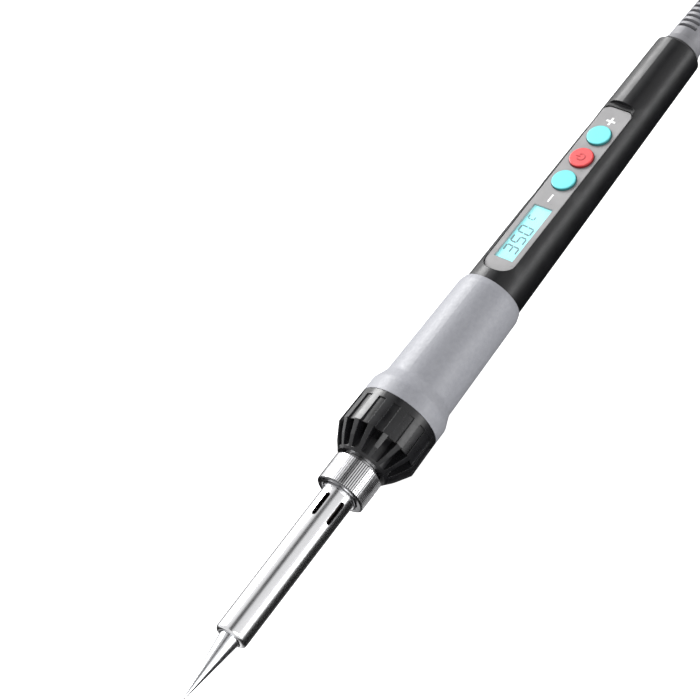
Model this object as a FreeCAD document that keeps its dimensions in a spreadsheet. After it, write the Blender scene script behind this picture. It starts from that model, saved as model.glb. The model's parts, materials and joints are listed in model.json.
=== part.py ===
import FreeCAD, Part
import math
import os
import re
import Sketcher
from FreeCAD import Placement, Rotation, Vector

# A hand-held digital soldering iron. Stations along the iron are measured from the soldering tip's point,
# towards the cord. Heights of the electronics are measured from the circuit board's top face.
# The origin is on the iron's axis, in the middle of the grip where a hand holds it.

DIMENSIONS = {
    "iron_length": 250.0,
    "hold_station": 110.0,
    "gap": 0.05,
    # soldering tip
    "tip_point_r": 0.35,
    "tip_point_length": 0.25,
    "tip_cone_r": 2.72,
    "tip_shoulder": 19.6,
    "tip_shank_r": 3.25,
    "tip_bore_start": 24.0,
    "tip_bore_r": 2.05,
    "tip_seat_start": 61.0,
    "tip_seat_r": 3.6,
    "tip_end": 65.8,
    # barrel that holds the tip
    "barrel_front": 18.3,
    "barrel_mouth_r": 3.05,
    "barrel_front_wall": 19.5,
    "barrel_lip_round": 1.0,
    "barrel_r": 4.3,
    "barrel_bore_r": 3.7,
    "barrel_flare_start": 62.6,
    "barrel_flare_r": 4.6,
    "barrel_flange_start": 64.9,
    "barrel_flange_r": 5.2,
    "barrel_end": 66.0,
    "vent_start": 54.1,
    "vent_end": 61.0,
    "vent_width": 1.3,
    "vent_count": 6,
    # nut
    "nut_front": 63.3,
    "nut_wall": 64.8,
    "nut_end": 71.5,
    "nut_mouth_r": 4.95,
    "nut_bore_r": 5.38,
    "nut_r": 6.66,
    "nut_chamfer": 0.35,
    # threaded ferrule and the heater in it
    "ferrule_front": 66.2,
    "ferrule_r": 5.3,
    "ferrule_bore_r": 4.0,
    "ferrule_flange_start": 79.0,
    "ferrule_flange_r": 5.9,
    "ferrule_end": 80.5,
    "heater_r": 1.9,
    "heater_front": 25.0,
    "heater_base_r": 3.9,
    "heater_base_end": 77.0,
    "lead_r": 0.6,
    "lead_spacing": 1.9,
    "lead_drop": 0.8,
    "lead_end": 140.0,
    # nose collar
    "collar_front": 72.4,
    "collar_mouth_r": 5.5,
    "collar_front_r": 6.9,
    "collar_knee": 75.3,
    "collar_knee_r": 9.1,
    "collar_edge": 78.8,
    "collar_edge_r": 11.1,
    "collar_end": 88.5,
    "collar_end_r": 10.9,
    "collar_spigot_end": 96.0,
    "collar_spigot_r": 7.2,
    "collar_bore_r": 6.0,
    "port_start": 73.1,
    "port_floor_r": 7.0,
    "port_back": 79.8,
    "port_roof_r": 10.2,
    "port_angle": 15.0,
    "recess_end": 86.7,
    "recess_floor_r": 10.6,
    "recess_angle": 11.25,
    "collar_count": 16,
    "bush_r": 5.95,
    "bush_end": 92.0,
    # grip
    "grip_front": 88.6,
    "grip_bore_r": 8.25,
    "grip_bulge_r": 10.9,
    "grip_bulge_end": 92.9,
    "grip_waist": 96.6,
    "grip_waist_r": 9.45,
    "grip_waist_round": 3.0,
    "grip_end": 129.3,
    "grip_end_r": 8.85,
    "grip_end_taper": 1.7,
    "grip_end_round": 2.5,
    # handle shell
    "sleeve_seat_r": 8.2,
    "handle_front": 129.4,
    "handle_front_r": 7.95,
    "handle_taper_end": 216.7,
    "handle_taper_end_r": 6.43,
    "handle_end": 217.7,
    "handle_end_r": 5.6,
    "spigot_bore_r": 7.25,
    "spigot_bore_end": 96.5,
    "handle_bore_front_r": 6.6,
    "handle_bore_back": 209.9,
    "handle_bore_back_r": 4.97,
    "handle_mouth_r": 4.7,
    # control panel and what lies under it
    "panel_depth": 1.54,
    "panel_front": 132.5,
    "panel_end": 191.0,
    "panel_half_width": 4.3,
    "panel_thickness": 1.5,
    "panel_front_round": 3.9,
    "panel_end_round": 1.8,
    "recess_gap": 0.12,
    "recess_tail": 1.5,
    "recess_tail_lift": 0.25,
    "panel_height": 5.0,
    "display_front": 137.2,
    "display_end": 155.5,
    "display_half_width": 2.8,
    "display_inset": 0.1,
    "display_thickness": 0.35,
    "backlight_margin": 0.5,
    "lcd_thickness": 2.5,
    "backlight_thickness": 1.85,
    "button_middle": 172.97,
    "button_pitch": 8.15,
    "button_r": 3.2,
    "button_hole_r": 3.3,
    "button_flange_r": 3.5,
    "button_bottom": 2.75,
    "button_flange_top": 3.43,
    "button_top": 5.7,
    "button_round": 0.3,
    "plunger_r": 0.9,
    "plunger_bottom": 1.15,
    "switch_side": 4.4,
    "switch_height": 1.6,
    "switch_well_r": 1.0,
    "switch_well_floor": 0.7,
    "board_front": 133.6,
    "board_end": 198.0,
    "board_half_width": 4.85,
    "board_thickness": 1.2,
    "boss_front": 158.6,
    "boss_back": 186.7,
    "boss_r": 1.15,
    "pilot_r": 0.5,
    "pilot_depth": 2.4,
    "screw_r": 0.48,
    "screw_head_r": 1.05,
    "screw_head_height": 0.8,
    "screw_reach": 2.2,
    "board_hole_r": 0.6,
    "controller_start": 144.0,
    "controller_side": 7.0,
    "controller_height": 1.0,
    "capacitor_start": 161.0,
    "capacitor_length": 10.0,
    "capacitor_r": 1.9,
    "triac_start": 175.5,
    "triac_length": 4.5,
    "triac_half_width": 2.2,
    "triac_height": 3.4,
    "film_start": 189.0,
    "film_length": 7.5,
    "film_half_width": 2.2,
    "film_height": 3.3,
    "terminal_start": 190.4,
    "terminal_length": 7.0,
    "terminal_half_width": 3.4,
    "terminal_height": 2.9,
    # cord end
    "clamp_start": 202.0,
    "clamp_end": 206.5,
    "clamp_r": 4.85,
    "cord_clamp_bore_r": 2.75,
    "clamp_screw_r": 0.8,
    "clamp_screw_bottom": 2.9,
    "clamp_screw_top": 4.8,
    "boot_front": 208.3,
    "boot_lip_r": 4.9,
    "boot_lip_end": 209.8,
    "boot_neck_r": 4.65,
    "boot_flange": 217.8,
    "boot_flange_r": 5.5,
    "boot_cone_end": 219.8,
    "boot_cone_r": 4.85,
    "boot_ribs_start": 222.3,
    "boot_ribs_r": 4.77,
    "boot_end_r": 3.55,
    "cord_bore_r": 2.7,
    "slot_width": 0.95,
    "slot_pitch": 1.87,
    "slot_floor_r": 3.15,
    "slot_angle": 70.0,
    "slot_count": 14,
    "slot_top_r": 6.0,
}

doc = FreeCAD.newDocument("soldering_iron")
sheet = doc.addObject("Spreadsheet::Sheet", "dims")
for row, (alias, value) in enumerate(DIMENSIONS.items(), start=1):
    sheet.set("A%d" % row, alias)
    sheet.set("B%d" % row, str(value))
    sheet.setAlias("B%d" % row, alias)
doc.recompute()

pieces = []


def bound(expression):
    """An expression with each of its words pointed at the sheet."""
    return re.sub(r"[a-z]\w*", r"dims.\g<0>", expression)


def size(expression):
    """The value of an expression in the sheet's words."""
    result = sheet.evalExpression(bound(expression))
    return float(getattr(result, "Value", result))


def bind(obj, sizes):
    for name, expression in sizes.items():
        obj.setExpression(name, bound(expression))


def keep(obj, label, placement):
    """Make an object one of the iron's pieces."""
    obj.Label = label
    obj.Placement = placement
    pieces.append(obj)
    return obj


# Frames

taper = size("(handle_front_r - handle_taper_end_r) / (handle_taper_end - handle_front)")
panel_tilt = math.degrees(math.atan(taper))
on_axis = Placement(Vector(-size("hold_station"), 0, 0), Rotation())


def above_board(station, height=0.0):
    """The placement of something on the tilted board, turned with it."""
    handle_r = size("handle_front_r") - taper * (station - size("handle_front"))
    board_height = handle_r - size("panel_depth") - size("panel_height")
    tilted = Placement(Vector(station, 0, board_height), Rotation(Vector(0, 1, 0), panel_tilt))
    return on_axis * tilted * Placement(Vector(0, 0, height), Rotation())


# Shapes

def plane_of(body, role):
    for feature in body.Origin.OriginFeatures:
        if feature.Role == role:
            return feature


def new_sketch(body, role):
    sketch = body.newObject("Sketcher::SketchObject", body.Name + "_sketch")
    sketch.AttachmentSupport = [(plane_of(body, role), "")]
    sketch.MapMode = "FlatFace"
    return sketch


def place_point(sketch, line, across, along):
    """Fix a line's first point at two expressions from the origin."""
    for kind, axis, expression in (("DistanceX", -2, across), ("DistanceY", -1, along)):
        if expression == "0":
            sketch.addConstraint(Sketcher.Constraint("PointOnObject", line, 1, axis))
        else:
            index = sketch.addConstraint(
                Sketcher.Constraint(kind, -1, 1, line, 1, size(expression)))
            sketch.setExpression("Constraints[%d]" % index, bound(expression))


def outline(body, role, points):
    """A closed, fully dimensioned polygon."""
    sketch = new_sketch(body, role)
    corners = [Vector(size(across), size(along), 0) for across, along in points]
    count = len(corners)
    for i in range(count):
        sketch.addGeometry(Part.LineSegment(corners[i], corners[(i + 1) % count]))
    for i in range(count):
        sketch.addConstraint(Sketcher.Constraint("Coincident", i, 2, (i + 1) % count, 1))
    for i, (across, along) in enumerate(points):
        place_point(sketch, i, across, along)
    return sketch


def revolved(name, points, axis="H_Axis"):
    """A body turned from an outline: about X with H_Axis, about Z with V_Axis."""
    body = doc.addObject("PartDesign::Body", name)
    sketch = outline(body, "XZ_Plane", points)
    turn = body.newObject("PartDesign::Revolution", name + "_turn")
    turn.Profile = sketch
    turn.ReferenceAxis = (sketch, [axis])
    turn.Angle = 360
    sketch.Visibility = False
    doc.recompute()
    return body


def turned(label, points):
    """A piece turned about the iron's own axis."""
    return keep(revolved(label, points), label, on_axis)


def cut_ring(body, name, points, angle):
    """Cut part of a ring, centred on the top of the body, and give the feature."""
    before = body.Shape.Volume
    sketch = outline(body, "XZ_Plane", points)
    groove = body.newObject("PartDesign::Groove", name)
    groove.Profile = sketch
    groove.ReferenceAxis = (sketch, ["H_Axis"])
    groove.Midplane = True
    bind(groove, {"Angle": angle})
    doc.recompute()
    if body.Shape.Volume >= before:
        raise RuntimeError(name + " cuts nothing")
    return groove


def around(body, feature, count):
    """Repeat a cut about the iron's axis."""
    pattern = body.newObject("PartDesign::PolarPattern", feature.Name + "_around")
    pattern.Originals = [feature]
    pattern.Axis = (plane_of(body, "X_Axis"), [""])
    pattern.Angle = 360
    bind(pattern, {"Occurrences": count})
    body.Tip = pattern
    doc.recompute()
    return pattern


def round_off(body, wanted, radius):
    """Round the edges that a test of their centre and bounds picks out."""
    base = body.Tip
    names = []
    for number, edge in enumerate(base.Shape.Edges, start=1):
        if wanted(edge):
            names.append("Edge%d" % number)
    fillet = body.newObject("PartDesign::Fillet", body.Name + "_round")
    fillet.Base = (base, names)
    bind(fillet, {"Radius": radius})
    doc.recompute()


def is_ring(station, radius):
    """A test for the circular edge at a station, with about a radius."""
    at = size(station)
    wide = size(radius)

    def wanted(edge):
        box = edge.BoundBox
        flat = box.XLength < 0.01 and abs(box.Center.x - at) < 0.01
        return flat and abs(box.ZMax - wide) < 0.05
    return wanted


def bar(name, front, back, half_width, height):
    """A box along the iron, its middle at the origin and its bottom at zero."""
    body = doc.addObject("Part::Box", name)
    bind(body, {"Length": "%s - %s" % (back, front), "Width": "2 * %s" % half_width, "Height": height})
    doc.recompute()
    return body


def middle(front, back):
    return (size(front) + size(back)) / 2


def bar_placement(bar_object, station, height):
    corner = Vector(-bar_object.Length.Value / 2, -bar_object.Width.Value / 2, 0)
    return above_board(station, height) * Placement(corner, Rotation())


def on_board(label, front, back, half_width, height, bottom):
    """A box-shaped piece on or under the board."""
    piece = bar(label, front, back, half_width, height)
    return keep(piece, label, bar_placement(piece, middle(front, back), size(bottom)))


def post(name, radius, bottom, top, placement):
    """A plain upright cylinder, from bottom to top of its placement."""
    cylinder = doc.addObject("Part::Cylinder", name)
    bind(cylinder, {"Radius": radius, "Height": "%s - (%s)" % (top, bottom)})
    cylinder.Placement = placement * Placement(Vector(0, 0, size(bottom)), Rotation())
    return cylinder


def joined(name, shapes):
    fuse = doc.addObject("Part::MultiFuse", name)
    fuse.Shapes = shapes
    return fuse


def less(name, base, tools):
    """A base less its tools."""
    cut = doc.addObject("Part::Cut", name)
    cut.Base = base
    cut.Tool = tools[0] if len(tools) == 1 else joined(name + "_tools", tools)
    return cut


# Hot end

def soldering_tip():
    turned("soldering_tip", [
        ("0", "0"),
        ("0", "tip_point_r / 2"),
        ("tip_point_length", "tip_point_r"),
        ("barrel_front", "tip_cone_r"),
        ("tip_shoulder", "tip_cone_r"),
        ("tip_shoulder", "tip_shank_r"),
        ("tip_seat_start", "tip_shank_r"),
        ("tip_seat_start", "tip_seat_r"),
        ("tip_end", "tip_seat_r"),
        ("tip_end", "tip_bore_r"),
        ("tip_bore_start", "tip_bore_r"),
        ("tip_bore_start", "0"),
    ])


def vent_sketch(body):
    """A round-ended slot on the iron's middle plane."""
    sketch = new_sketch(body, "XY_Plane")
    half = size("vent_width / 2")
    front = size("vent_start") + half
    back = size("vent_end") - half
    up = Vector(0, 0, 1)
    sketch.addGeometry(Part.LineSegment(Vector(front, half, 0), Vector(back, half, 0)))
    back_circle = Part.Circle(Vector(back, 0, 0), up, half)
    sketch.addGeometry(Part.ArcOfCircle(back_circle, -math.pi / 2, math.pi / 2))
    sketch.addGeometry(Part.LineSegment(Vector(back, -half, 0), Vector(front, -half, 0)))
    front_circle = Part.Circle(Vector(front, 0, 0), up, half)
    sketch.addGeometry(Part.ArcOfCircle(front_circle, math.pi / 2, 3 * math.pi / 2))
    for first, end, second, start in ((0, 2, 1, 2), (1, 1, 2, 1), (2, 2, 3, 2), (3, 1, 0, 1)):
        sketch.addConstraint(Sketcher.Constraint("Tangent", first, end, second, start))
    sketch.addConstraint(Sketcher.Constraint("Horizontal", 0))
    sketch.addConstraint(Sketcher.Constraint("PointOnObject", 1, 3, -1))
    for kind, line, spot, expression in (
            ("DistanceX", 3, 3, "vent_start + vent_width / 2"),
            ("DistanceX", 1, 3, "vent_end - vent_width / 2")):
        index = sketch.addConstraint(Sketcher.Constraint(kind, -1, 1, line, spot, size(expression)))
        sketch.setExpression("Constraints[%d]" % index, bound(expression))
    index = sketch.addConstraint(Sketcher.Constraint("Radius", 1, half))
    sketch.setExpression("Constraints[%d]" % index, bound("vent_width / 2"))
    return sketch


def tip_barrel():
    body = turned("tip_barrel", [
        ("barrel_front", "barrel_mouth_r"),
        ("barrel_front", "barrel_r"),
        ("barrel_flare_start", "barrel_r"),
        ("barrel_flare_start", "barrel_flare_r"),
        ("barrel_flange_start", "barrel_flare_r"),
        ("barrel_flange_start", "barrel_flange_r"),
        ("barrel_end", "barrel_flange_r"),
        ("barrel_end", "barrel_bore_r"),
        ("barrel_front_wall", "barrel_bore_r"),
        ("barrel_front_wall", "barrel_mouth_r"),
    ])
    round_off(body, is_ring("barrel_front", "barrel_r"), "barrel_lip_round")
    before = body.Shape.Volume
    vent = body.newObject("PartDesign::Pocket", "vent")
    vent.Profile = vent_sketch(body)
    vent.Reversed = True
    bind(vent, {"Length": "barrel_flange_r"})
    doc.recompute()
    if body.Shape.Volume >= before:
        raise RuntimeError("the vent cuts nothing")
    around(body, vent, "vent_count")


def barrel_nut():
    turned("barrel_nut", [
        ("nut_front", "nut_mouth_r"),
        ("nut_front", "nut_r - nut_chamfer"),
        ("nut_front + nut_chamfer", "nut_r"),
        ("nut_end - nut_chamfer", "nut_r"),
        ("nut_end", "nut_r - nut_chamfer"),
        ("nut_end", "nut_bore_r"),
        ("nut_wall", "nut_bore_r"),
        ("nut_wall", "nut_mouth_r"),
    ])


def heater():
    turned("threaded_ferrule", [
        ("ferrule_front", "ferrule_bore_r"),
        ("ferrule_front", "ferrule_r"),
        ("ferrule_flange_start", "ferrule_r"),
        ("ferrule_flange_start", "ferrule_flange_r"),
        ("ferrule_end", "ferrule_flange_r"),
        ("ferrule_end", "ferrule_bore_r"),
    ])
    turned("heater_element", [
        ("heater_front", "0"),
        ("heater_front", "heater_r"),
        ("heater_base_end", "heater_r"),
        ("heater_base_end", "0"),
    ])
    turned("heater_base", [
        ("ferrule_front", "heater_r + gap"),
        ("ferrule_front", "heater_base_r"),
        ("heater_base_end", "heater_base_r"),
        ("heater_base_end", "heater_r + gap"),
    ])
    leads = []
    for number in range(4):
        lead = doc.addObject("Part::Cylinder", "lead_%d" % number)
        bind(lead, {"Radius": "lead_r", "Height": "lead_end - heater_base_end - gap"})
        across = (number - 1.5) * size("lead_spacing")
        start = Vector(size("heater_base_end + gap"), across, -size("lead_drop"))
        lead.Placement = Placement(start, Rotation(Vector(0, 1, 0), 90))
        leads.append(lead)
    group = doc.addObject("Part::Compound", "heater_leads")
    group.Links = leads
    keep(group, "heater_leads", on_axis)


# Body of the iron

def nose_collar():
    body = turned("nose_collar", [
        ("collar_front", "collar_mouth_r"),
        ("collar_front", "collar_front_r"),
        ("collar_knee", "collar_knee_r"),
        ("collar_edge", "collar_edge_r"),
        ("collar_end", "collar_end_r"),
        ("collar_end", "collar_spigot_r"),
        ("collar_spigot_end", "collar_spigot_r"),
        ("collar_spigot_end", "collar_bore_r"),
        ("ferrule_flange_start - gap", "collar_bore_r"),
        ("ferrule_flange_start - gap", "collar_mouth_r"),
    ])
    port = cut_ring(body, "port", [
        ("port_start", "port_floor_r"),
        ("port_back", "port_floor_r"),
        ("port_back", "port_roof_r"),
        ("collar_edge", "port_roof_r"),
        ("collar_edge", "collar_edge_r + 1"),
        ("port_start", "collar_edge_r + 1"),
    ], "port_angle")
    around(body, port, "collar_count")
    recess = cut_ring(body, "recess", [
        ("collar_edge - 1", "recess_floor_r"),
        ("recess_end", "recess_floor_r"),
        ("recess_end", "collar_edge_r + 1"),
        ("collar_edge - 1", "collar_edge_r + 1"),
    ], "recess_angle")
    around(body, recess, "collar_count")
    turned("retaining_bush", [
        ("ferrule_end + gap", "ferrule_bore_r"),
        ("ferrule_end + gap", "bush_r"),
        ("bush_end", "bush_r"),
        ("bush_end", "ferrule_bore_r"),
    ])


def grip_sleeve():
    body = turned("grip_sleeve", [
        ("grip_front", "grip_bore_r"),
        ("grip_front", "grip_bulge_r"),
        ("grip_bulge_end", "grip_bulge_r"),
        ("grip_waist", "grip_waist_r"),
        ("grip_end - grip_end_taper", "grip_end_r"),
        ("grip_end", "grip_bore_r + 2 * gap"),
        ("grip_end", "grip_bore_r"),
    ])
    round_off(body, is_ring("grip_bulge_end", "grip_bulge_r"), "grip_waist_round")
    round_off(body, is_ring("grip_waist", "grip_waist_r"), "grip_waist_round")
    round_off(body, is_ring("grip_end - grip_end_taper", "grip_end_r"), "grip_end_round")


def panel_blank(name, front, back, half_width, thickness):
    """A plate with a rounded front end and rounded back corners, its middle at the origin."""
    body = doc.addObject("PartDesign::Body", name)
    sketch = new_sketch(body, "XY_Plane")
    half_length = size("(%s - (%s)) / 2" % (back, front))
    wide = size(half_width)
    corners = [Vector(-half_length, -wide, 0), Vector(half_length, -wide, 0),
               Vector(half_length, wide, 0), Vector(-half_length, wide, 0)]
    for i in range(4):
        sketch.addGeometry(Part.LineSegment(corners[i], corners[(i + 1) % 4]))
    for i in range(4):
        sketch.addConstraint(Sketcher.Constraint("Coincident", i, 2, (i + 1) % 4, 1))
    for line, kind in ((0, "Horizontal"), (2, "Horizontal"), (1, "Vertical"), (3, "Vertical")):
        sketch.addConstraint(Sketcher.Constraint(kind, line))
    sketch.addConstraint(Sketcher.Constraint("Symmetric", 0, 1, 2, 1, -1, 1))
    length = sketch.addConstraint(Sketcher.Constraint("DistanceX", 0, 1, 0, 2, 2 * half_length))
    sketch.setExpression("Constraints[%d]" % length, bound("%s - (%s)" % (back, front)))
    width = sketch.addConstraint(Sketcher.Constraint("DistanceY", 1, 1, 1, 2, 2 * wide))
    sketch.setExpression("Constraints[%d]" % width, bound("2 * (%s)" % half_width))
    pad = body.newObject("PartDesign::Pad", name + "_pad")
    pad.Profile = sketch
    bind(pad, {"Length": thickness})
    doc.recompute()

    def upright(edge, side):
        box = edge.BoundBox
        return box.XLength < 0.01 and box.YLength < 0.01 and box.Center.x * side > 0
    round_off(body, lambda edge: upright(edge, -1), "panel_front_round")
    round_off(body, lambda edge: upright(edge, 1), "panel_end_round")
    return body


def handle_shell():
    tube = revolved("handle_tube", [
        ("grip_front", "spigot_bore_r"),
        ("grip_front", "sleeve_seat_r"),
        ("handle_front", "sleeve_seat_r"),
        ("handle_front", "handle_front_r"),
        ("handle_taper_end", "handle_taper_end_r"),
        ("handle_end", "handle_end_r"),
        ("handle_end", "handle_mouth_r"),
        ("handle_bore_back", "handle_mouth_r"),
        ("handle_bore_back", "handle_bore_back_r"),
        ("spigot_bore_end", "handle_bore_front_r"),
        ("spigot_bore_end", "spigot_bore_r"),
    ])
    front = "panel_front - recess_gap"
    wide = "panel_half_width + recess_gap"
    cuts = []
    for name, back, floor in (
            ("panel_seat", "panel_end + recess_gap", "panel_height - panel_thickness - gap"),
            ("panel_scoop", "panel_end + recess_tail", "panel_height + recess_tail_lift")):
        cut = panel_blank(name, front, back, wide, "handle_front_r")
        cut.Placement = on_axis.inverse() * above_board(middle(front, back), size(floor))
        cuts.append(cut)
    keep(less("handle_shell", tube, cuts), "handle_shell", on_axis)


# Panel and electronics

BUTTONS = {"minus": -1, "power": 0, "plus": 1}


def button_station(name):
    return size("button_middle") + BUTTONS[name] * size("button_pitch")


def local(station, height=0.0):
    """A place on the control panel, in the panel's own frame."""
    origin = above_board(middle("panel_front", "panel_end"))
    return origin.inverse() * above_board(station, height)


def control_panel():
    plate = panel_blank("panel_plate", "panel_front", "panel_end", "panel_half_width",
                        "panel_thickness")
    underside = size("panel_height - panel_thickness")
    plate.Placement = Placement(Vector(0, 0, underside), Rotation())
    bosses = []
    holes = []
    for end in ("front", "back"):
        spot = local(size("boss_" + end))
        bosses.append(post("boss_" + end, "boss_r", "gap", "panel_height - panel_thickness + gap", spot))
        holes.append(post("pilot_" + end, "pilot_r", "-gap", "pilot_depth", spot))
    for name in BUTTONS:
        spot = local(button_station(name))
        holes.append(post(name + "_hole", "button_hole_r", "switch_height", "button_top + 1", spot))
    window = bar("window_hole", "display_front", "display_end", "display_half_width", "panel_thickness * 2")
    corner = Vector(-window.Length.Value / 2, -window.Width.Value / 2, 0)
    spot = local(middle("display_front", "display_end"), underside - 1)
    window.Placement = spot * Placement(corner, Rotation())
    holes.append(window)
    solid = joined("panel_solid", [plate] + bosses)
    panel = less("control_panel", solid, holes)
    keep(panel, "control_panel", above_board(middle("panel_front", "panel_end")))


def display():
    on_board("display_window", "(display_front + gap)", "(display_end - gap)",
             "(display_half_width - gap)", "display_thickness",
             "panel_height - display_inset - display_thickness")
    on_board("lcd_glass", "(display_front + gap)", "(display_end - gap)",
             "(display_half_width - gap)", "lcd_thickness", "backlight_thickness + 2 * gap")
    on_board("lcd_backlight", "(display_front - backlight_margin)", "(display_end + backlight_margin)",
             "(display_half_width + backlight_margin)", "backlight_thickness", "gap")


def buttons():
    for name in BUTTONS:
        spot = above_board(button_station(name))
        cap = revolved(name + "_button", [
            ("0", "button_bottom"),
            ("button_flange_r", "button_bottom"),
            ("button_flange_r", "button_flange_top"),
            ("button_r", "button_flange_top"),
            ("button_r", "button_top"),
            ("0", "button_top"),
        ], "V_Axis")
        top = size("button_top")
        round_off(cap, lambda edge: edge.BoundBox.ZMin > top - 0.01, "button_round")
        keep(cap, name + "_button", spot)
        plunger = post(name + "_plunger", "plunger_r", "plunger_bottom", "button_bottom", spot)
        keep(plunger, name + "_plunger", plunger.Placement)
        case = bar(name + "_switch_case", "0", "switch_side", "(switch_side / 2)", "switch_height")
        corner = -size("switch_side / 2")
        case.Placement = Placement(Vector(corner, corner, 0), Rotation())
        well = post(name + "_well", "switch_well_r", "switch_well_floor", "switch_height + 1",
                    Placement())
        keep(less(name + "_switch", case, [well]), name + "_switch", spot)


def circuit_board():
    board = bar("board_blank", "board_front", "board_end", "board_half_width", "board_thickness")
    origin = above_board(middle("board_front", "board_end"))
    corner = Vector(-board.Length.Value / 2, -board.Width.Value / 2, -board.Height.Value)
    board.Placement = Placement(corner, Rotation())
    holes = []
    screws = []
    for end in ("front", "back"):
        spot = origin.inverse() * above_board(size("boss_" + end))
        holes.append(post("board_hole_" + end, "board_hole_r", "-board_thickness - 1", "1", spot))
        under = "-board_thickness - gap"
        shank = post("shank_" + end, "screw_r", under, "screw_reach", spot)
        head = post("head_" + end, "screw_head_r", under + " - screw_head_height", under, spot)
        screws.append(joined("board_screw_" + end, [shank, head]))
    keep(less("circuit_board", board, holes), "circuit_board", origin)
    group = doc.addObject("Part::Compound", "board_screws")
    group.Links = screws
    keep(group, "board_screws", origin)


def electronics():
    under = "-board_thickness - gap"
    on_board("microcontroller", "controller_start", "(controller_start + controller_side)",
             "(controller_side / 2)", "controller_height", under + " - controller_height")
    on_board("triac", "triac_start", "(triac_start + triac_length)", "triac_half_width",
             "triac_height", under + " - triac_height")
    on_board("film_capacitor", "film_start", "(film_start + film_length)", "film_half_width",
             "film_height", under + " - film_height")
    on_board("terminal_block", "terminal_start", "(terminal_start + terminal_length)",
             "terminal_half_width", "terminal_height", "gap")
    can = doc.addObject("Part::Cylinder", "smoothing_capacitor")
    bind(can, {"Radius": "capacitor_r", "Height": "capacitor_length"})
    depth = size("board_thickness + gap + capacitor_r")
    spot = above_board(size("capacitor_start"), -depth)
    keep(can, "smoothing_capacitor", spot * Placement(Vector(), Rotation(Vector(0, 1, 0), 90)))


# Cord end

def cord_clamp():
    ring = revolved("clamp_ring", [
        ("clamp_start", "cord_clamp_bore_r"),
        ("clamp_start", "clamp_r"),
        ("clamp_end", "clamp_r"),
        ("clamp_end", "cord_clamp_bore_r"),
    ])
    centre = Placement(Vector(middle("clamp_start", "clamp_end"), 0, 0), Rotation())
    hole = post("clamp_hole", "clamp_screw_r + gap", "0", "clamp_r + 1", centre)
    keep(less("cord_clamp", ring, [hole]), "cord_clamp", on_axis)
    screw = post("clamp_screw", "clamp_screw_r", "clamp_screw_bottom", "clamp_screw_top", centre)
    keep(screw, "clamp_screw", on_axis * screw.Placement)


def strain_relief():
    body = turned("strain_relief", [
        ("boot_front", "cord_bore_r"),
        ("boot_front", "boot_lip_r"),
        ("boot_lip_end", "boot_lip_r"),
        ("boot_lip_end", "boot_neck_r"),
        ("boot_flange", "boot_neck_r"),
        ("boot_flange", "boot_flange_r"),
        ("boot_cone_end", "boot_cone_r"),
        ("boot_ribs_start", "boot_ribs_r"),
        ("iron_length", "boot_end_r"),
        ("iron_length", "cord_bore_r"),
    ])
    for row, stagger in (("top", "0"), ("side", "slot_pitch / 2")):
        start = "boot_ribs_start + 0.4 + " + stagger
        slot = cut_ring(body, "slot_" + row, [
            (start, "slot_floor_r"),
            (start + " + slot_width", "slot_floor_r"),
            (start + " + slot_width", "slot_top_r"),
            (start, "slot_top_r"),
        ], "slot_angle")
        repeat = body.newObject("PartDesign::MultiTransform", "slots_" + row)
        repeat.Originals = [slot]
        line = doc.addObject("PartDesign::LinearPattern", "line_" + row)
        body.addObject(line)
        line.Direction = (plane_of(body, "X_Axis"), [""])
        bind(line, {"Occurrences": "slot_count", "Length": "slot_pitch * (slot_count - 1)"})
        turn = doc.addObject("PartDesign::PolarPattern", "turn_" + row)
        body.addObject(turn)
        turn.Axis = (plane_of(body, "X_Axis"), [""])
        turn.Angle = 360
        turn.Occurrences = 2
        repeat.Transformations = [line, turn]
        body.Tip = repeat
        if row == "side":
            slot_turned(slot)
        doc.recompute()


def slot_turned(slot):
    """Turn a row of slots a quarter turn from the first."""
    sketch = slot.Profile[0]
    sketch.AttachmentOffset = Placement(Vector(), Rotation(Vector(1, 0, 0), 90))


soldering_tip()
tip_barrel()
barrel_nut()
heater()
nose_collar()
grip_sleeve()
handle_shell()
control_panel()
display()
buttons()
circuit_board()
electronics()
cord_clamp()
strain_relief()
doc.recompute()

for obj in doc.Objects:
    if "Invalid" in obj.State or "Error" in obj.State:
        raise RuntimeError("%s failed: %s" % (obj.Label, obj.State))

os.makedirs("parts", exist_ok=True)
for piece in pieces:
    if piece.Shape.isNull() or not piece.Shape.isValid():
        raise RuntimeError(piece.Label + " has no valid shape")
    piece.Shape.exportStep("parts/%s.step" % piece.Label)
    box = piece.Shape.BoundBox
    print("%-20s solids %d  volume %9.2f  x %7.2f..%7.2f  z %6.2f..%6.2f" % (
        piece.Label, len(piece.Shape.Solids), piece.Shape.Volume, box.XMin, box.XMax, box.ZMin, box.ZMax))
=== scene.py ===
import json
import math

import bmesh
import bpy
from mathutils import Matrix, Vector


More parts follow.
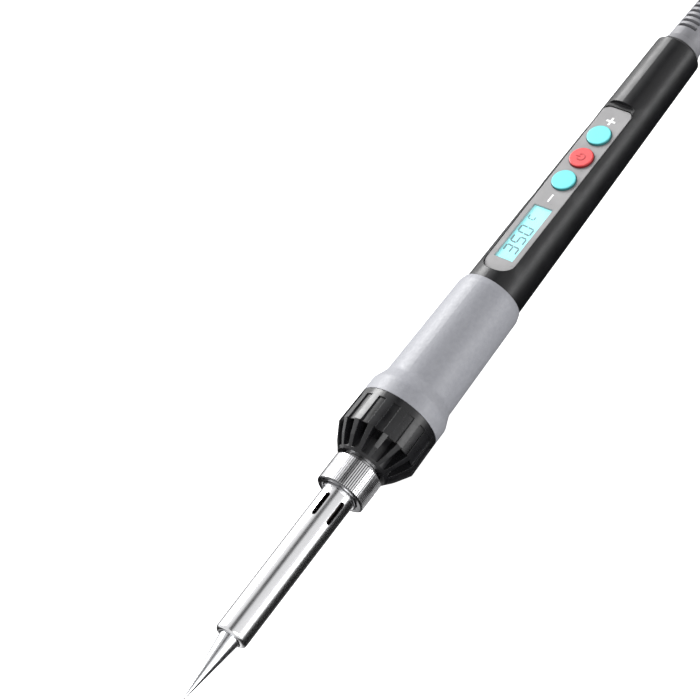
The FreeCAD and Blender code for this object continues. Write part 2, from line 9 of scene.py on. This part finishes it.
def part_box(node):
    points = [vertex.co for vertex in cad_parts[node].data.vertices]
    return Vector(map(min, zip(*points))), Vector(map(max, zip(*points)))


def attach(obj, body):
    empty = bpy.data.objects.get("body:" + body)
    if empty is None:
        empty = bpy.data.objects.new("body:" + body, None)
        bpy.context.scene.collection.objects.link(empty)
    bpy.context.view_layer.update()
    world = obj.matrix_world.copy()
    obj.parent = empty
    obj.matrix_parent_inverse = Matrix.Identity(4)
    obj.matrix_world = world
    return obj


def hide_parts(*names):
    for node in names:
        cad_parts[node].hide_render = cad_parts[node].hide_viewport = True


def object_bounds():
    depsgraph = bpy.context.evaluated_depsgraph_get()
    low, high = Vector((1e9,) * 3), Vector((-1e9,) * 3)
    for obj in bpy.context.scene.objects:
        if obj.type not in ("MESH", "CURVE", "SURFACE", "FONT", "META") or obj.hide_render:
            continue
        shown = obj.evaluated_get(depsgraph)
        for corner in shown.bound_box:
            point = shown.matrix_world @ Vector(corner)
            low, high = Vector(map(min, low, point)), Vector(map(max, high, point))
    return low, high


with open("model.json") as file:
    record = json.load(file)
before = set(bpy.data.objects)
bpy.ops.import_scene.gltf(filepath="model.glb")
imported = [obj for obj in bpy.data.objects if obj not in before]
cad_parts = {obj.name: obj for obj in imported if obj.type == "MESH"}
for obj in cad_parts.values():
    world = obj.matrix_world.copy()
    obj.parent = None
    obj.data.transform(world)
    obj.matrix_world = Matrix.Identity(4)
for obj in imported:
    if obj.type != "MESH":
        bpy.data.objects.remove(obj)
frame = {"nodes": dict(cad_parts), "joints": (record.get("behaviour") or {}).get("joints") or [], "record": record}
CAD_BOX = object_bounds()

MM = 0.001
LOW, HIGH = Vector(CAD_BOX[0]), Vector(CAD_BOX[1])
JOINTS = {joint["name"]: joint for joint in frame["joints"]}
AXIS_Z = (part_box("tip_barrel")[0][2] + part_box("tip_barrel")[1][2]) / 2


def station(distance):
    """The X of a place this many millimetres behind the tip's point."""
    return LOW.x + distance * MM


def tint(red, green, blue, alpha=1.0):
    """A colour written as it looks, 0 to 255, as the linear colour that a shader takes."""
    def linear(value):
        share = value / 255
        return share / 12.92 if share <= 0.04045 else ((share + 0.055) / 1.055) ** 2.4
    return (linear(red), linear(green), linear(blue), alpha)


# ---------------------------------------------------------------- materials

class Nodes:
    """A material with a Principled shader, and short ways to add nodes to it."""

    def __init__(self, name, roughness=0.5, metallic=0.0, coat=0.0, coat_roughness=0.1, specular=0.5):
        self.material = bpy.data.materials.new(name)
        self.material.use_nodes = True
        self.tree = self.material.node_tree
        self.shader = self.tree.nodes["Principled BSDF"]
        self.shader.inputs["Roughness"].default_value = roughness
        self.shader.inputs["Metallic"].default_value = metallic
        self.shader.inputs["Coat Weight"].default_value = coat
        self.shader.inputs["Coat Roughness"].default_value = coat_roughness
        self.shader.inputs["Specular IOR Level"].default_value = specular
        self.place = self.add("ShaderNodeTexCoord").outputs["Object"]

    def add(self, kind, **settings):
        node = self.tree.nodes.new(kind)
        for key, value in settings.items():
            setattr(node, key, value)
        return node

    def link(self, source, target):
        self.tree.links.new(source, target)

    def noise(self, scale, detail=3.0, stretch=(1, 1, 1)):
        """Noise with this many cells in a metre, stretched along the axes."""
        mapping = self.add("ShaderNodeMapping")
        mapping.inputs["Scale"].default_value = stretch
        self.link(self.place, mapping.inputs["Vector"])
        node = self.add("ShaderNodeTexNoise")
        node.inputs["Scale"].default_value = scale
        node.inputs["Detail"].default_value = detail
        self.link(mapping.outputs["Vector"], node.inputs["Vector"])
        return node.outputs["Fac"]

    def cells(self, scale):
        node = self.add("ShaderNodeTexVoronoi", feature="SMOOTH_F1")
        node.inputs["Scale"].default_value = scale
        self.link(self.place, node.inputs["Vector"])
        return node.outputs["Distance"]

    def ramp(self, source, stops):
        node = self.add("ShaderNodeValToRGB")
        ramp = node.color_ramp
        while len(ramp.elements) < len(stops):
            ramp.elements.new(0.5)
        for element, (position, colour) in zip(ramp.elements, stops):
            element.position = position
            element.color = colour
        self.link(source, node.inputs["Fac"])
        return node.outputs["Color"]

    def spread(self, source, low, high):
        node = self.add("ShaderNodeMapRange")
        node.inputs["From Min"].default_value = 0.3
        node.inputs["From Max"].default_value = 0.7
        node.inputs["To Min"].default_value = low
        node.inputs["To Max"].default_value = high
        self.link(source, node.inputs["Value"])
        return node.outputs["Result"]

    def colour(self, source):
        self.link(source, self.shader.inputs["Base Color"])
        return self

    def rough(self, source, low, high):
        self.link(self.spread(source, low, high), self.shader.inputs["Roughness"])
        return self

    def soften(self, radius):
        """Edges shaded as if they were rounded off by this radius."""
        node = self.add("ShaderNodeBevel", samples=4)
        node.inputs["Radius"].default_value = radius
        return node.outputs["Normal"]

    def bump(self, source, depth, normal=None):
        """A relief this many metres deep. The last one added is on top."""
        node = self.add("ShaderNodeBump")
        node.inputs["Strength"].default_value = 1.0
        node.inputs["Distance"].default_value = depth
        self.link(source, node.inputs["Height"])
        if normal is not None:
            self.link(normal, node.inputs["Normal"])
        self.link(node.outputs["Normal"], self.shader.inputs["Normal"])
        return node.outputs["Normal"]


def moulded(name, dark, light, roughness, coat=0.0, grain=3500, depth=4e-6, spread=0.06,
            edge=0.00012, specular=0.5):
    """Moulded plastic: faint mottling, a fine grain and slightly rounded edges."""
    nodes = Nodes(name, roughness, coat=coat, specular=specular)
    nodes.colour(nodes.ramp(nodes.noise(160, 4), [(0.35, dark), (0.65, light)]))
    nodes.rough(nodes.noise(420, 3), roughness - spread, roughness + spread)
    nodes.bump(nodes.noise(grain, 2), depth, nodes.soften(edge))
    return nodes.material


def metal(name, dark, light, roughness, stretch, grain=1400, depth=3e-7, spread=0.04):
    """Turned, drawn or plated metal, with its marks stretched along an axis."""
    nodes = Nodes(name, roughness, metallic=1.0)
    nodes.colour(nodes.ramp(nodes.noise(300, 4, stretch), [(0.35, dark), (0.65, light)]))
    nodes.rough(nodes.noise(900, 3, stretch), roughness - spread, roughness + spread)
    nodes.bump(nodes.noise(grain, 3, stretch), depth)
    return nodes.material


# How far below the knurl's crests its painted shade reaches.
NUT_SHADED_DEPTH = 0.6 * MM


def knurled_nickel():
    """Nickel with painted light: a painted highlight on the knurl's crests, and painted shade in its grooves and
    on the end faces.
    """
    nodes = Nodes("nut_nickel", 0.24, metallic=1.0)
    low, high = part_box("barrel_nut")
    outer = (high[2] - low[2]) / 2
    from_axis = nodes.add("ShaderNodeVectorMath", operation="SUBTRACT")
    from_axis.inputs[1].default_value = (0, 0, AXIS_Z)
    across = nodes.add("ShaderNodeVectorMath", operation="MULTIPLY")
    across.inputs[1].default_value = (0, 1, 1)
    radius = nodes.add("ShaderNodeVectorMath", operation="LENGTH")
    nodes.link(nodes.place, from_axis.inputs[0])
    nodes.link(from_axis.outputs["Vector"], across.inputs[0])
    nodes.link(across.outputs["Vector"], radius.inputs[0])
    share = nodes.add("ShaderNodeMapRange")
    share.inputs["From Min"].default_value = outer - NUT_SHADED_DEPTH
    share.inputs["From Max"].default_value = outer
    nodes.link(radius.outputs["Value"], share.inputs["Value"])
    # Painted light by radius: the end faces and the grooves get painted shade, the crests a painted highlight.
    face, groove_painted_shade, crest_painted_highlight = tint(150, 150, 152), tint(84, 84, 86), tint(226, 226, 228)
    stops = [(0.3, face), (0.6, groove_painted_shade), (0.72, groove_painted_shade), (0.92, crest_painted_highlight)]
    nodes.colour(nodes.ramp(share.outputs["Result"], stops))
    nodes.rough(nodes.noise(900, 3, (0.3, 1, 1)), 0.2, 0.28)
    nodes.bump(nodes.noise(1400, 3, (0.3, 1, 1)), 5e-8)
    return nodes.material


PLATING_END = 24


def tip_plating():
    """Bright plating, dark with oxide where the tip goes into the barrel, tinned at its point."""
    nodes = Nodes("tip_plating", 0.12, metallic=1.0)
    axis = nodes.add("ShaderNodeSeparateXYZ")
    nodes.link(nodes.place, axis.inputs["Vector"])
    along = nodes.add("ShaderNodeMapRange")
    along.inputs["From Min"].default_value = station(0)
    along.inputs["From Max"].default_value = station(PLATING_END)
    nodes.link(axis.outputs["X"], along.inputs["Value"])
    bright, tinned, oxide = tint(226, 227, 230), tint(238, 239, 242), tint(38, 35, 34)
    stops = [(0.0, tinned), (0.2, bright), (0.76, bright), (0.84, oxide)]
    nodes.colour(nodes.ramp(along.outputs["Result"], stops))
    nodes.rough(nodes.noise(700, 4, (1, 4, 4)), 0.22, 0.3)
    nodes.bump(nodes.noise(1500, 3, (6, 1, 1)), 5e-8)
    return nodes.material


def grip_rubber():
    """Soft grey rubber with a fine leathery grain and a satin shine."""
    nodes = Nodes("grip_rubber", 0.5, coat=0.12, coat_roughness=0.35, specular=0.5)
    dark, light = tint(136, 137, 143), tint(144, 145, 151)
    nodes.colour(nodes.ramp(nodes.noise(900, 4), [(0.3, dark), (0.7, light)]))
    nodes.rough(nodes.noise(1500, 3), 0.42, 0.58)
    fine = nodes.bump(nodes.noise(1500, 4), 1.2e-5, nodes.soften(0.0002))
    nodes.bump(nodes.cells(2600), 3.2e-5, fine)
    return nodes.material


def lit(name, colour, strength):
    """A glowing face behind the display window."""
    nodes = Nodes(name, 0.3)
    dimmer = tuple(0.94 * channel for channel in colour[:3]) + (1,)
    shade = nodes.ramp(nodes.noise(120, 2), [(0.3, colour), (0.7, dimmer)])
    nodes.colour(shade)
    nodes.link(shade, nodes.shader.inputs["Emission Color"])
    nodes.shader.inputs["Emission Strength"].default_value = strength
    nodes.bump(nodes.noise(2500, 2), 1e-6)
    return nodes.material


def clear_window():
    """The thin clear plate over the display."""
    nodes = Nodes("display_clear", 0.04)
    nodes.shader.inputs["Alpha"].default_value = 0.12
    dark, light = tint(215, 250, 252), tint(225, 253, 254)
    nodes.colour(nodes.ramp(nodes.noise(200, 2), [(0.4, dark), (0.6, light)]))
    nodes.bump(nodes.noise(600, 2), 1e-6)
    return nodes.material


def silicone(name, side, top):
    """Button rubber: satin, with a fine grain, its rim darker than its face as painted shade."""
    nodes = Nodes(name, 0.4, coat=0.1, coat_roughness=0.3)
    geometry = nodes.add("ShaderNodeNewGeometry")
    painted_shade_facing = nodes.add("ShaderNodeSeparateXYZ")
    nodes.link(geometry.outputs["Normal"], painted_shade_facing.inputs["Vector"])
    # Painted shade: faces turned away from the top get the darker side colour.
    nodes.colour(nodes.ramp(painted_shade_facing.outputs["Z"], [(0.35, side), (0.85, top)]))
    nodes.rough(nodes.noise(1200, 2), 0.34, 0.48)
    nodes.bump(nodes.noise(5000, 2), 5e-6, nodes.soften(0.00015))
    return nodes.material


LOOKS = {
    "tip_plate": tip_plating(),
    "barrel_steel": metal("barrel_steel", tint(232, 232, 234), tint(242, 242, 244), 0.23, (0.1, 1, 1),
                          depth=2e-8, spread=0.02),
    "nut_nickel": knurled_nickel(),
    "ferrule_steel": metal("ferrule_steel", tint(206, 206, 208), tint(228, 228, 230), 0.22, (5, 1, 1)),
    "heater_ceramic": moulded("heater_ceramic", tint(214, 208, 198), tint(232, 228, 220), 0.6),
    "lead_sleeving": moulded("lead_sleeving", tint(212, 210, 200), tint(236, 234, 226), 0.8,
                             grain=2600, depth=4e-5),
    "collar_black": moulded("collar_black", tint(20, 20, 22), tint(28, 28, 30), 0.3, coat=0.1,
                            depth=3e-6, edge=0.0002, specular=0.42),
    "grip_rubber": grip_rubber(),
    "handle_gloss": moulded("handle_gloss", tint(12, 12, 14), tint(18, 18, 20), 0.4, coat=0.04,
                            grain=900, depth=8e-7, spread=0.04, edge=0.0003, specular=0.4),
    "panel_grey": moulded("panel_grey", tint(130, 129, 130), tint(140, 139, 140), 0.32, coat=0.2,
                          edge=0.0002),
    "display_clear": clear_window(),
    "lcd": lit("lcd", tint(150, 246, 250), 0.25),
    "backlight": moulded("backlight", tint(228, 232, 234), tint(240, 244, 246), 0.5),
    # Each button's first colour is the painted shade of its sides, the second its top's own colour.
    "button_cyan": silicone("button_cyan", tint(42, 116, 120), tint(94, 204, 208)),
    "button_red": silicone("button_red", tint(128, 12, 16), tint(204, 46, 50)),
    "switch_black": moulded("switch_black", tint(34, 34, 34), tint(48, 48, 48), 0.5),
    "board_green": moulded("board_green", tint(22, 84, 50), tint(34, 104, 62), 0.35),
    "screw_steel": metal("screw_steel", tint(180, 180, 182), tint(206, 206, 208), 0.3, (2, 1, 1)),
    "film_yellow": moulded("film_yellow", tint(206, 164, 60), tint(222, 180, 74), 0.45),
    "terminal_green": moulded("terminal_green", tint(52, 120, 70), tint(66, 138, 82), 0.45),
    "can_sleeve": moulded("can_sleeve", tint(26, 32, 58), tint(36, 42, 70), 0.3),
    "clamp_white": moulded("clamp_white", tint(222, 222, 214), tint(236, 236, 230), 0.5),
    "boot_grey": moulded("boot_grey", tint(112, 112, 116), tint(128, 128, 132), 0.5, edge=0.0002),
}

for subpart in frame["record"]["subparts"]:
    node = frame["nodes"][subpart["node"]]
    node.data.materials.clear()
    node.data.materials.append(LOOKS[subpart["material_slot"]])


# ---------------------------------------------------------------- pieces

def finish_piece(name, mesh, body, slot):
    """An object for a mesh, in the look of its slot, riding on its body."""
    piece = bpy.data.objects.new(name, mesh)
    bpy.context.scene.collection.objects.link(piece)
    mesh.materials.append(LOOKS[slot] if slot in LOOKS else MARKS[slot])
    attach(piece, body)
    return piece


def lathe(name, profile, segments, radius_at):
    """A closed ring turned about the iron's axis from a closed outline of (x, radius) in metres.
    radius_at(radius, step) gives a point's radius at one of the segments."""
    work = bmesh.new()
    rings = []
    for i in range(segments):
        angle = 2 * math.pi * i / segments
        ring = []
        for x, radius in profile:
            wide = radius_at(radius, i)
            ring.append(work.verts.new((x, wide * math.cos(angle), AXIS_Z + wide * math.sin(angle))))
        rings.append(ring)
    for i in range(segments):
        here, there = rings[i], rings[(i + 1) % segments]
        for j in range(len(profile)):
            k = (j + 1) % len(profile)
            work.faces.new((here[j], here[k], there[k], there[j]))
    bmesh.ops.recalc_face_normals(work, faces=work.faces)
    mesh = bpy.data.meshes.new(name)
    work.to_mesh(mesh)
    work.free()
    return mesh


def knurled_nut():
    """The nut with its fine straight knurl, in the place and size of the plain one."""
    low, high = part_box("barrel_nut")
    outer = (high[2] - low[2]) / 2
    front, back = low[0], high[0]
    teeth, samples = 72, 5
    depth = 0.24 * MM
    mouth, bore, wall = 4.95 * MM, 5.38 * MM, 1.5 * MM
    lip, chamfer = 0.25 * MM, 0.35 * MM
    knurled = outer - 0.5 * chamfer
    profile = [
        (front, mouth + lip), (front, outer - 1.6 * chamfer), (front + 0.3 * chamfer, outer - chamfer),
        (front + chamfer, outer), (back - chamfer, outer), (back - 0.3 * chamfer, outer - chamfer),
        (back, outer - 1.6 * chamfer), (back, bore), (front + wall, bore), (front + wall, mouth),
        (front + lip, mouth),
    ]

    def radius_at(radius, step):
        in_groove = radius >= knurled and step % samples == 0
        return radius - depth if in_groove else radius


    mesh = lathe("knurled_nut", profile, teeth * samples, radius_at)
    piece = finish_piece("knurled_nut", mesh, "nut", "nut_nickel")
    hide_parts("barrel_nut")


PRESS = Vector(JOINTS["power_press"]["axis"]).normalized()
PANEL_NORMAL = -PRESS
PANEL_ALONG = Vector((PANEL_NORMAL.z, 0, -PANEL_NORMAL.x))
PANEL_LOW, PANEL_HIGH = (Vector(corner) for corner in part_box("control_panel"))
PANEL_ORIGIN = Vector((PANEL_LOW.x, 0, PANEL_HIGH.z))


def on_panel(along, across, above):
    """A point on the control panel: millimetres behind its front edge, to the left, and above its face."""
    return PANEL_ORIGIN + (PANEL_ALONG * along + Vector((0, 1, 0)) * across + PANEL_NORMAL * above) * MM


def panel_place(distance):
    """How far behind the panel's front edge a station is, in millimetres."""
    return (station(distance) - PANEL_LOW.x) / MM


def raised(work, outline, bottom, top):
    """A thin raised mark with straight sides, from an outline of (along, across)."""
    lower = [work.verts.new(on_panel(x, y, bottom)) for x, y in outline]
    upper = [work.verts.new(on_panel(x, y, top)) for x, y in outline]
    work.faces.new(upper)
    work.faces.new(list(reversed(lower)))
    count = len(outline)
    for i in range(count):
        k = (i + 1) % count
        work.faces.new((lower[i], lower[k], upper[k], upper[i]))


def rectangle(x, y, length, width):
    return [(x - length / 2, y - width / 2), (x + length / 2, y - width / 2),
            (x + length / 2, y + width / 2), (x - length / 2, y + width / 2)]


def marks_mesh(name, outlines, bottom, top):
    work = bmesh.new()
    for outline in outlines:
        raised(work, outline, bottom, top)
    bmesh.ops.recalc_face_normals(work, faces=work.faces)
    mesh = bpy.data.meshes.new(name)
    work.to_mesh(mesh)
    work.free()
    return mesh


MARKS = {
    "mark_white": moulded("mark_white", tint(232, 232, 232), tint(244, 244, 244), 0.45),
    "sign_red": moulded("sign_red", tint(176, 34, 40), tint(186, 40, 46), 0.45),
    "segment_grey": moulded("segment_grey", tint(44, 78, 94), tint(52, 86, 102), 0.5, specular=0.2),
}

# Segments of a digit, in the usual order from the top round to the middle: centre and whether upright,
# in halves of the digit's width and height.
SEGMENTS = {
    "a": (0, 2, False), "b": (1, 1, True), "c": (1, -1, True), "d": (0, -2, False),
    "e": (-1, -1, True), "f": (-1, 1, True), "g": (0, 0, False),
}
LIT = {"3": "abcdg", "5": "acdfg", "0": "abcdef", "C": "adef"}


def segment(x, y, length, stroke, upright):
    """A six-sided bar that ends in points."""
    half, wide = length / 2, stroke / 2
    points = [(-half, 0), (-half + wide, -wide), (half - wide, -wide),
              (half, 0), (half - wide, wide), (-half + wide, wide)]
    if upright:
        points = [(-b, a) for a, b in points]
    return [(x + a, y + b) for a, b in points]


def digit(sign, x, y, width, height, stroke, slant=0.08):
    outlines = []
    for name in LIT[sign]:
        column, row, upright = SEGMENTS[name]
        length = height / 2 if upright else width
        shape = segment(column * width / 2, row * height / 4, length - 0.12, stroke, upright)
        outlines.append([(x + a + slant * b, y + b) for a, b in shape])
    return outlines


def display_digits():
    """A generic set temperature in seven-segment digits, on the display's glass, and a small C."""
    corner_low, corner_high = (Vector(corner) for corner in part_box("lcd_glass"))
    drop = (corner_low.x - PANEL_LOW.x) * PANEL_NORMAL.x
    face = (corner_high.z - PANEL_HIGH.z + drop) / MM
    bottom, top = face + 0.005, face + 0.04
    start, pitch, unit_offset = panel_place(140.9), 3.35, 10.9
    outlines = []
    for i, sign in enumerate("350"):
        outlines += digit(sign, start + i * pitch, 0.2, width=2.1, height=3.7, stroke=0.46)
    outlines += digit("C", start + unit_offset, 1.15, width=1.2, height=1.8, stroke=0.32)
    mesh = marks_mesh("display_digits", outlines, bottom, top)
    piece = finish_piece("display_digits", mesh, "handle", "segment_grey")


def power_sign():
    """The usual ring and bar of an on-off button, standing on the red one."""
    low, high = (Vector(corner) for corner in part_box("power_button"))
    x = ((low + high).x / 2 - PANEL_LOW.x) / MM
    crown_drop, sunk, proud = 0.06, 0.03, 0.02
    face = (high - PANEL_ORIGIN).dot(PANEL_NORMAL) / MM - crown_drop
    outer, inner, steps = 1.15, 0.9, 28
    half_gap = math.radians(38)
    sweep = 2 * math.pi - 2 * half_gap
    angles = [half_gap + sweep * i / steps for i in range(steps + 1)]
    outlines = []
    for first, second in zip(angles, angles[1:]):
        corners = ((inner, first), (outer, first), (outer, second), (inner, second))
        outlines.append([(x - radius * math.sin(angle), radius * math.cos(angle))
                         for radius, angle in corners])
    outlines.append(rectangle(x, 0.85, length=0.24, width=1.1))
    mesh = marks_mesh("power_sign", outlines, face - sunk, face + proud)
    piece = finish_piece("power_sign", mesh, "power_key", "sign_red")


def panel_marks():
    """The minus and plus signs printed beside the buttons."""
    minus_station, plus_station = 158.7, 186.7
    minus = rectangle(panel_place(minus_station), 0, length=2.6, width=0.5)
    x = panel_place(plus_station)
    half, wide = 1.3, 0.3
    plus = [(-half, -wide), (-wide, -wide), (-wide, -half), (wide, -half), (wide, -wide), (half, -wide),
            (half, wide), (wide, wide), (wide, half), (-wide, half), (-wide, wide), (-half, wide)]
    outlines = [minus, [(x + a, b) for a, b in plus]]
    mesh = marks_mesh("panel_marks", outlines, bottom=-0.03, top=0.02)
    piece = finish_piece("panel_marks", mesh, "handle", "mark_white")


knurled_nut()
display_digits()
power_sign()
panel_marks()


# ---------------------------------------------------------------- studio

MIDDLE = Vector(((LOW.x + HIGH.x) / 2, 0, AXIS_Z))
CLEARANCE = 0.0002
FLOOR_LEVEL = LOW.z - CLEARANCE
FLAG_HEIGHT = LOW.z - AXIS_Z + CLEARANCE


def from_middle(x, y, z):
    """A place in the studio, in metres from the middle of the iron's axis."""
    return MIDDLE + Vector((x, y, z))


def plane(name, centre, size, normal):
    """A flat sheet of the studio, which isn't part of the iron."""
    work = bmesh.new()
    bmesh.ops.create_grid(work, x_segments=1, y_segments=1, size=0.5)
    mesh = bpy.data.meshes.new(name)
    work.to_mesh(mesh)
    work.free()
    obj = bpy.data.objects.new(name, mesh)
    obj.matrix_world = Matrix.LocRotScale(
        Vector(centre), Vector(normal).to_track_quat("Z", "Y"), Vector((size[0], size[1], 1)))
    bpy.context.scene.collection.objects.link(obj)
    return obj


def floor():
    """A white floor that the camera sees brighter than the lamps make it, and that can't be seen
    from below."""
    obj = plane("floor", (MIDDLE.x, 0, FLOOR_LEVEL), (6, 6), (0, 0, 1))
    material = bpy.data.materials.new("floor_white")
    material.use_nodes = True
    tree = material.node_tree
    shader = tree.nodes["Principled BSDF"]
    shader.inputs["Base Color"].default_value = (0.8, 0.8, 0.8, 1)
    shader.inputs["Roughness"].default_value = 0.9
    shader.inputs["Specular IOR Level"].default_value = 0.0
    glow = tree.nodes.new("ShaderNodeEmission")
    glow.inputs["Strength"].default_value = 0.75
    path = tree.nodes.new("ShaderNodeLightPath")
    nothing = tree.nodes.new("ShaderNodeEmission")
    nothing.inputs["Strength"].default_value = 0.0
    seen = tree.nodes.new("ShaderNodeMixShader")
    total = tree.nodes.new("ShaderNodeAddShader")
    tree.links.new(path.outputs["Is Camera Ray"], seen.inputs["Fac"])
    tree.links.new(nothing.outputs["Emission"], seen.inputs[1])
    tree.links.new(glow.outputs["Emission"], seen.inputs[2])
    tree.links.new(shader.outputs["BSDF"], total.inputs[0])
    tree.links.new(seen.outputs["Shader"], total.inputs[1])
    side = tree.nodes.new("ShaderNodeNewGeometry")
    clear = tree.nodes.new("ShaderNodeBsdfTransparent")
    from_below = tree.nodes.new("ShaderNodeMixShader")
    tree.links.new(side.outputs["Backfacing"], from_below.inputs["Fac"])
    tree.links.new(total.outputs["Shader"], from_below.inputs[1])
    tree.links.new(clear.outputs["BSDF"], from_below.inputs[2])
    tree.links.new(from_below.outputs["Shader"], tree.nodes["Material Output"].inputs["Surface"])
    obj.data.materials.append(material)


def flag(name, centre, size, normal, soft):
    """A black studio flag that only reflections see. soft is the share of its width that fades out."""
    obj = plane(name, centre, size, normal)
    obj.visible_camera = False
    obj.visible_shadow = False
    obj.visible_diffuse = False
    material = bpy.data.materials.new(name)
    material.use_nodes = True
    tree = material.node_tree
    shader = tree.nodes["Principled BSDF"]
    shader.inputs["Base Color"].default_value = (0.012, 0.012, 0.012, 1)
    shader.inputs["Roughness"].default_value = 1.0
    shader.inputs["Specular IOR Level"].default_value = 0.0
    place = tree.nodes.new("ShaderNodeTexCoord")
    axes = tree.nodes.new("ShaderNodeSeparateXYZ")
    off_middle = tree.nodes.new("ShaderNodeMath")
    off_middle.operation = "ABSOLUTE"
    fade = tree.nodes.new("ShaderNodeMapRange")
    fade.interpolation_type = "SMOOTHSTEP"
    fade.inputs["From Min"].default_value = 0.5
    fade.inputs["From Max"].default_value = 0.5 * (1 - soft)
    clear = tree.nodes.new("ShaderNodeBsdfTransparent")
    mix = tree.nodes.new("ShaderNodeMixShader")
    tree.links.new(place.outputs["Object"], axes.inputs["Vector"])
    tree.links.new(axes.outputs["Y"], off_middle.inputs[0])
    tree.links.new(off_middle.outputs["Value"], fade.inputs["Value"])
    tree.links.new(fade.outputs["Result"], mix.inputs["Fac"])
    tree.links.new(clear.outputs["BSDF"], mix.inputs[1])
    tree.links.new(shader.outputs["BSDF"], mix.inputs[2])
    tree.links.new(mix.outputs["Shader"], tree.nodes["Material Output"].inputs["Surface"])
    obj.data.materials.append(material)


def lamp(name, place, target, width, height, power):
    """A flat lamp that faces the target."""
    data = bpy.data.lights.new(name, "AREA")
    data.shape = "RECTANGLE"
    data.size = width
    data.size_y = height
    data.energy = power
    obj = bpy.data.objects.new(name, data)
    obj.location = Vector(place)
    obj.rotation_euler = (Vector(target) - Vector(place)).to_track_quat("-Z", "Y").to_euler()
    bpy.context.scene.collection.objects.link(obj)


def world_light(strength):
    """White surroundings: at this strength as light, and at full white to the camera and in reflections."""
    world = bpy.data.worlds.new("studio")
    bpy.context.scene.world = world
    world.use_nodes = True
    tree = world.node_tree
    shader = tree.nodes["Background"]
    shader.inputs["Color"].default_value = (1, 1, 1, 1)
    shader.inputs["Strength"].default_value = strength
    white = tree.nodes.new("ShaderNodeBackground")
    white.inputs["Strength"].default_value = 1.0
    path = tree.nodes.new("ShaderNodeLightPath")
    mix = tree.nodes.new("ShaderNodeMixShader")
    seen = tree.nodes.new("ShaderNodeMath")
    seen.operation = "MAXIMUM"
    tree.links.new(path.outputs["Is Camera Ray"], seen.inputs[0])
    tree.links.new(path.outputs["Is Glossy Ray"], seen.inputs[1])
    tree.links.new(seen.outputs["Value"], mix.inputs["Fac"])
    tree.links.new(shader.outputs["Background"], mix.inputs[1])
    tree.links.new(white.outputs["Background"], mix.inputs[2])
    tree.links.new(mix.outputs["Shader"], tree.nodes["World Output"].inputs["Surface"])


def camera():
    """A long lens from the tip's side and above, turned so that the iron climbs steeply across
    the picture."""
    toward = Vector((-0.383, -0.537, 0.752)).normalized()
    climb = math.radians(51.9)
    distance, lens, far_limit = 732 * MM, 154.3, 20
    beside_axis = Vector((0, 0.814, 0.581)) * 19.5 * MM
    aim = Vector((station(94.7), 0, AXIS_Z)) + beside_axis
    level_right = (-toward).cross(Vector((0, 0, 1))).normalized()
    level_up = level_right.cross(-toward)
    axis = Vector((1, 0, 0))
    roll = climb - math.atan2(axis.dot(level_up), axis.dot(level_right))
    right = level_right * math.cos(roll) - level_up * math.sin(roll)
    up = level_right * math.sin(roll) + level_up * math.cos(roll)
    data = bpy.data.cameras.new("camera")
    data.sensor_width = 36
    data.lens = lens
    data.clip_end = far_limit
    obj = bpy.data.objects.new("camera", data)
    turned = Matrix((right, up, toward)).transposed().to_4x4()
    obj.matrix_world = Matrix.Translation(aim + toward * distance) @ turned
    bpy.context.scene.collection.objects.link(obj)
    bpy.context.scene.camera = obj


floor()
flag("flag_near", from_middle(0, -0.033, FLAG_HEIGHT), (0.34, 0.08), (0, 0, 1), 0.35)
flag("flag_far", from_middle(0, 0.029, FLAG_HEIGHT), (0.34, 0.044), (0, 0, 1), 0.3)
flag("flag_over", from_middle(0.1, -0.04, 0.5), (1.4, 0.34), (0, 0, -1), 0.75)
lamp("key", from_middle(0.20, 0.64, 0.37), MIDDLE, 0.8, 0.35, 12)
lamp("fill", from_middle(-0.35, -0.50, 0.44), MIDDLE, 0.6, 0.35, 2.2)
lamp("rim", from_middle(0.15, -0.55, 0.09), MIDDLE, 0.9, 0.16, 2.0)
world_light(0.4)
camera()
bpy.context.scene.view_settings.view_transform = "Standard"
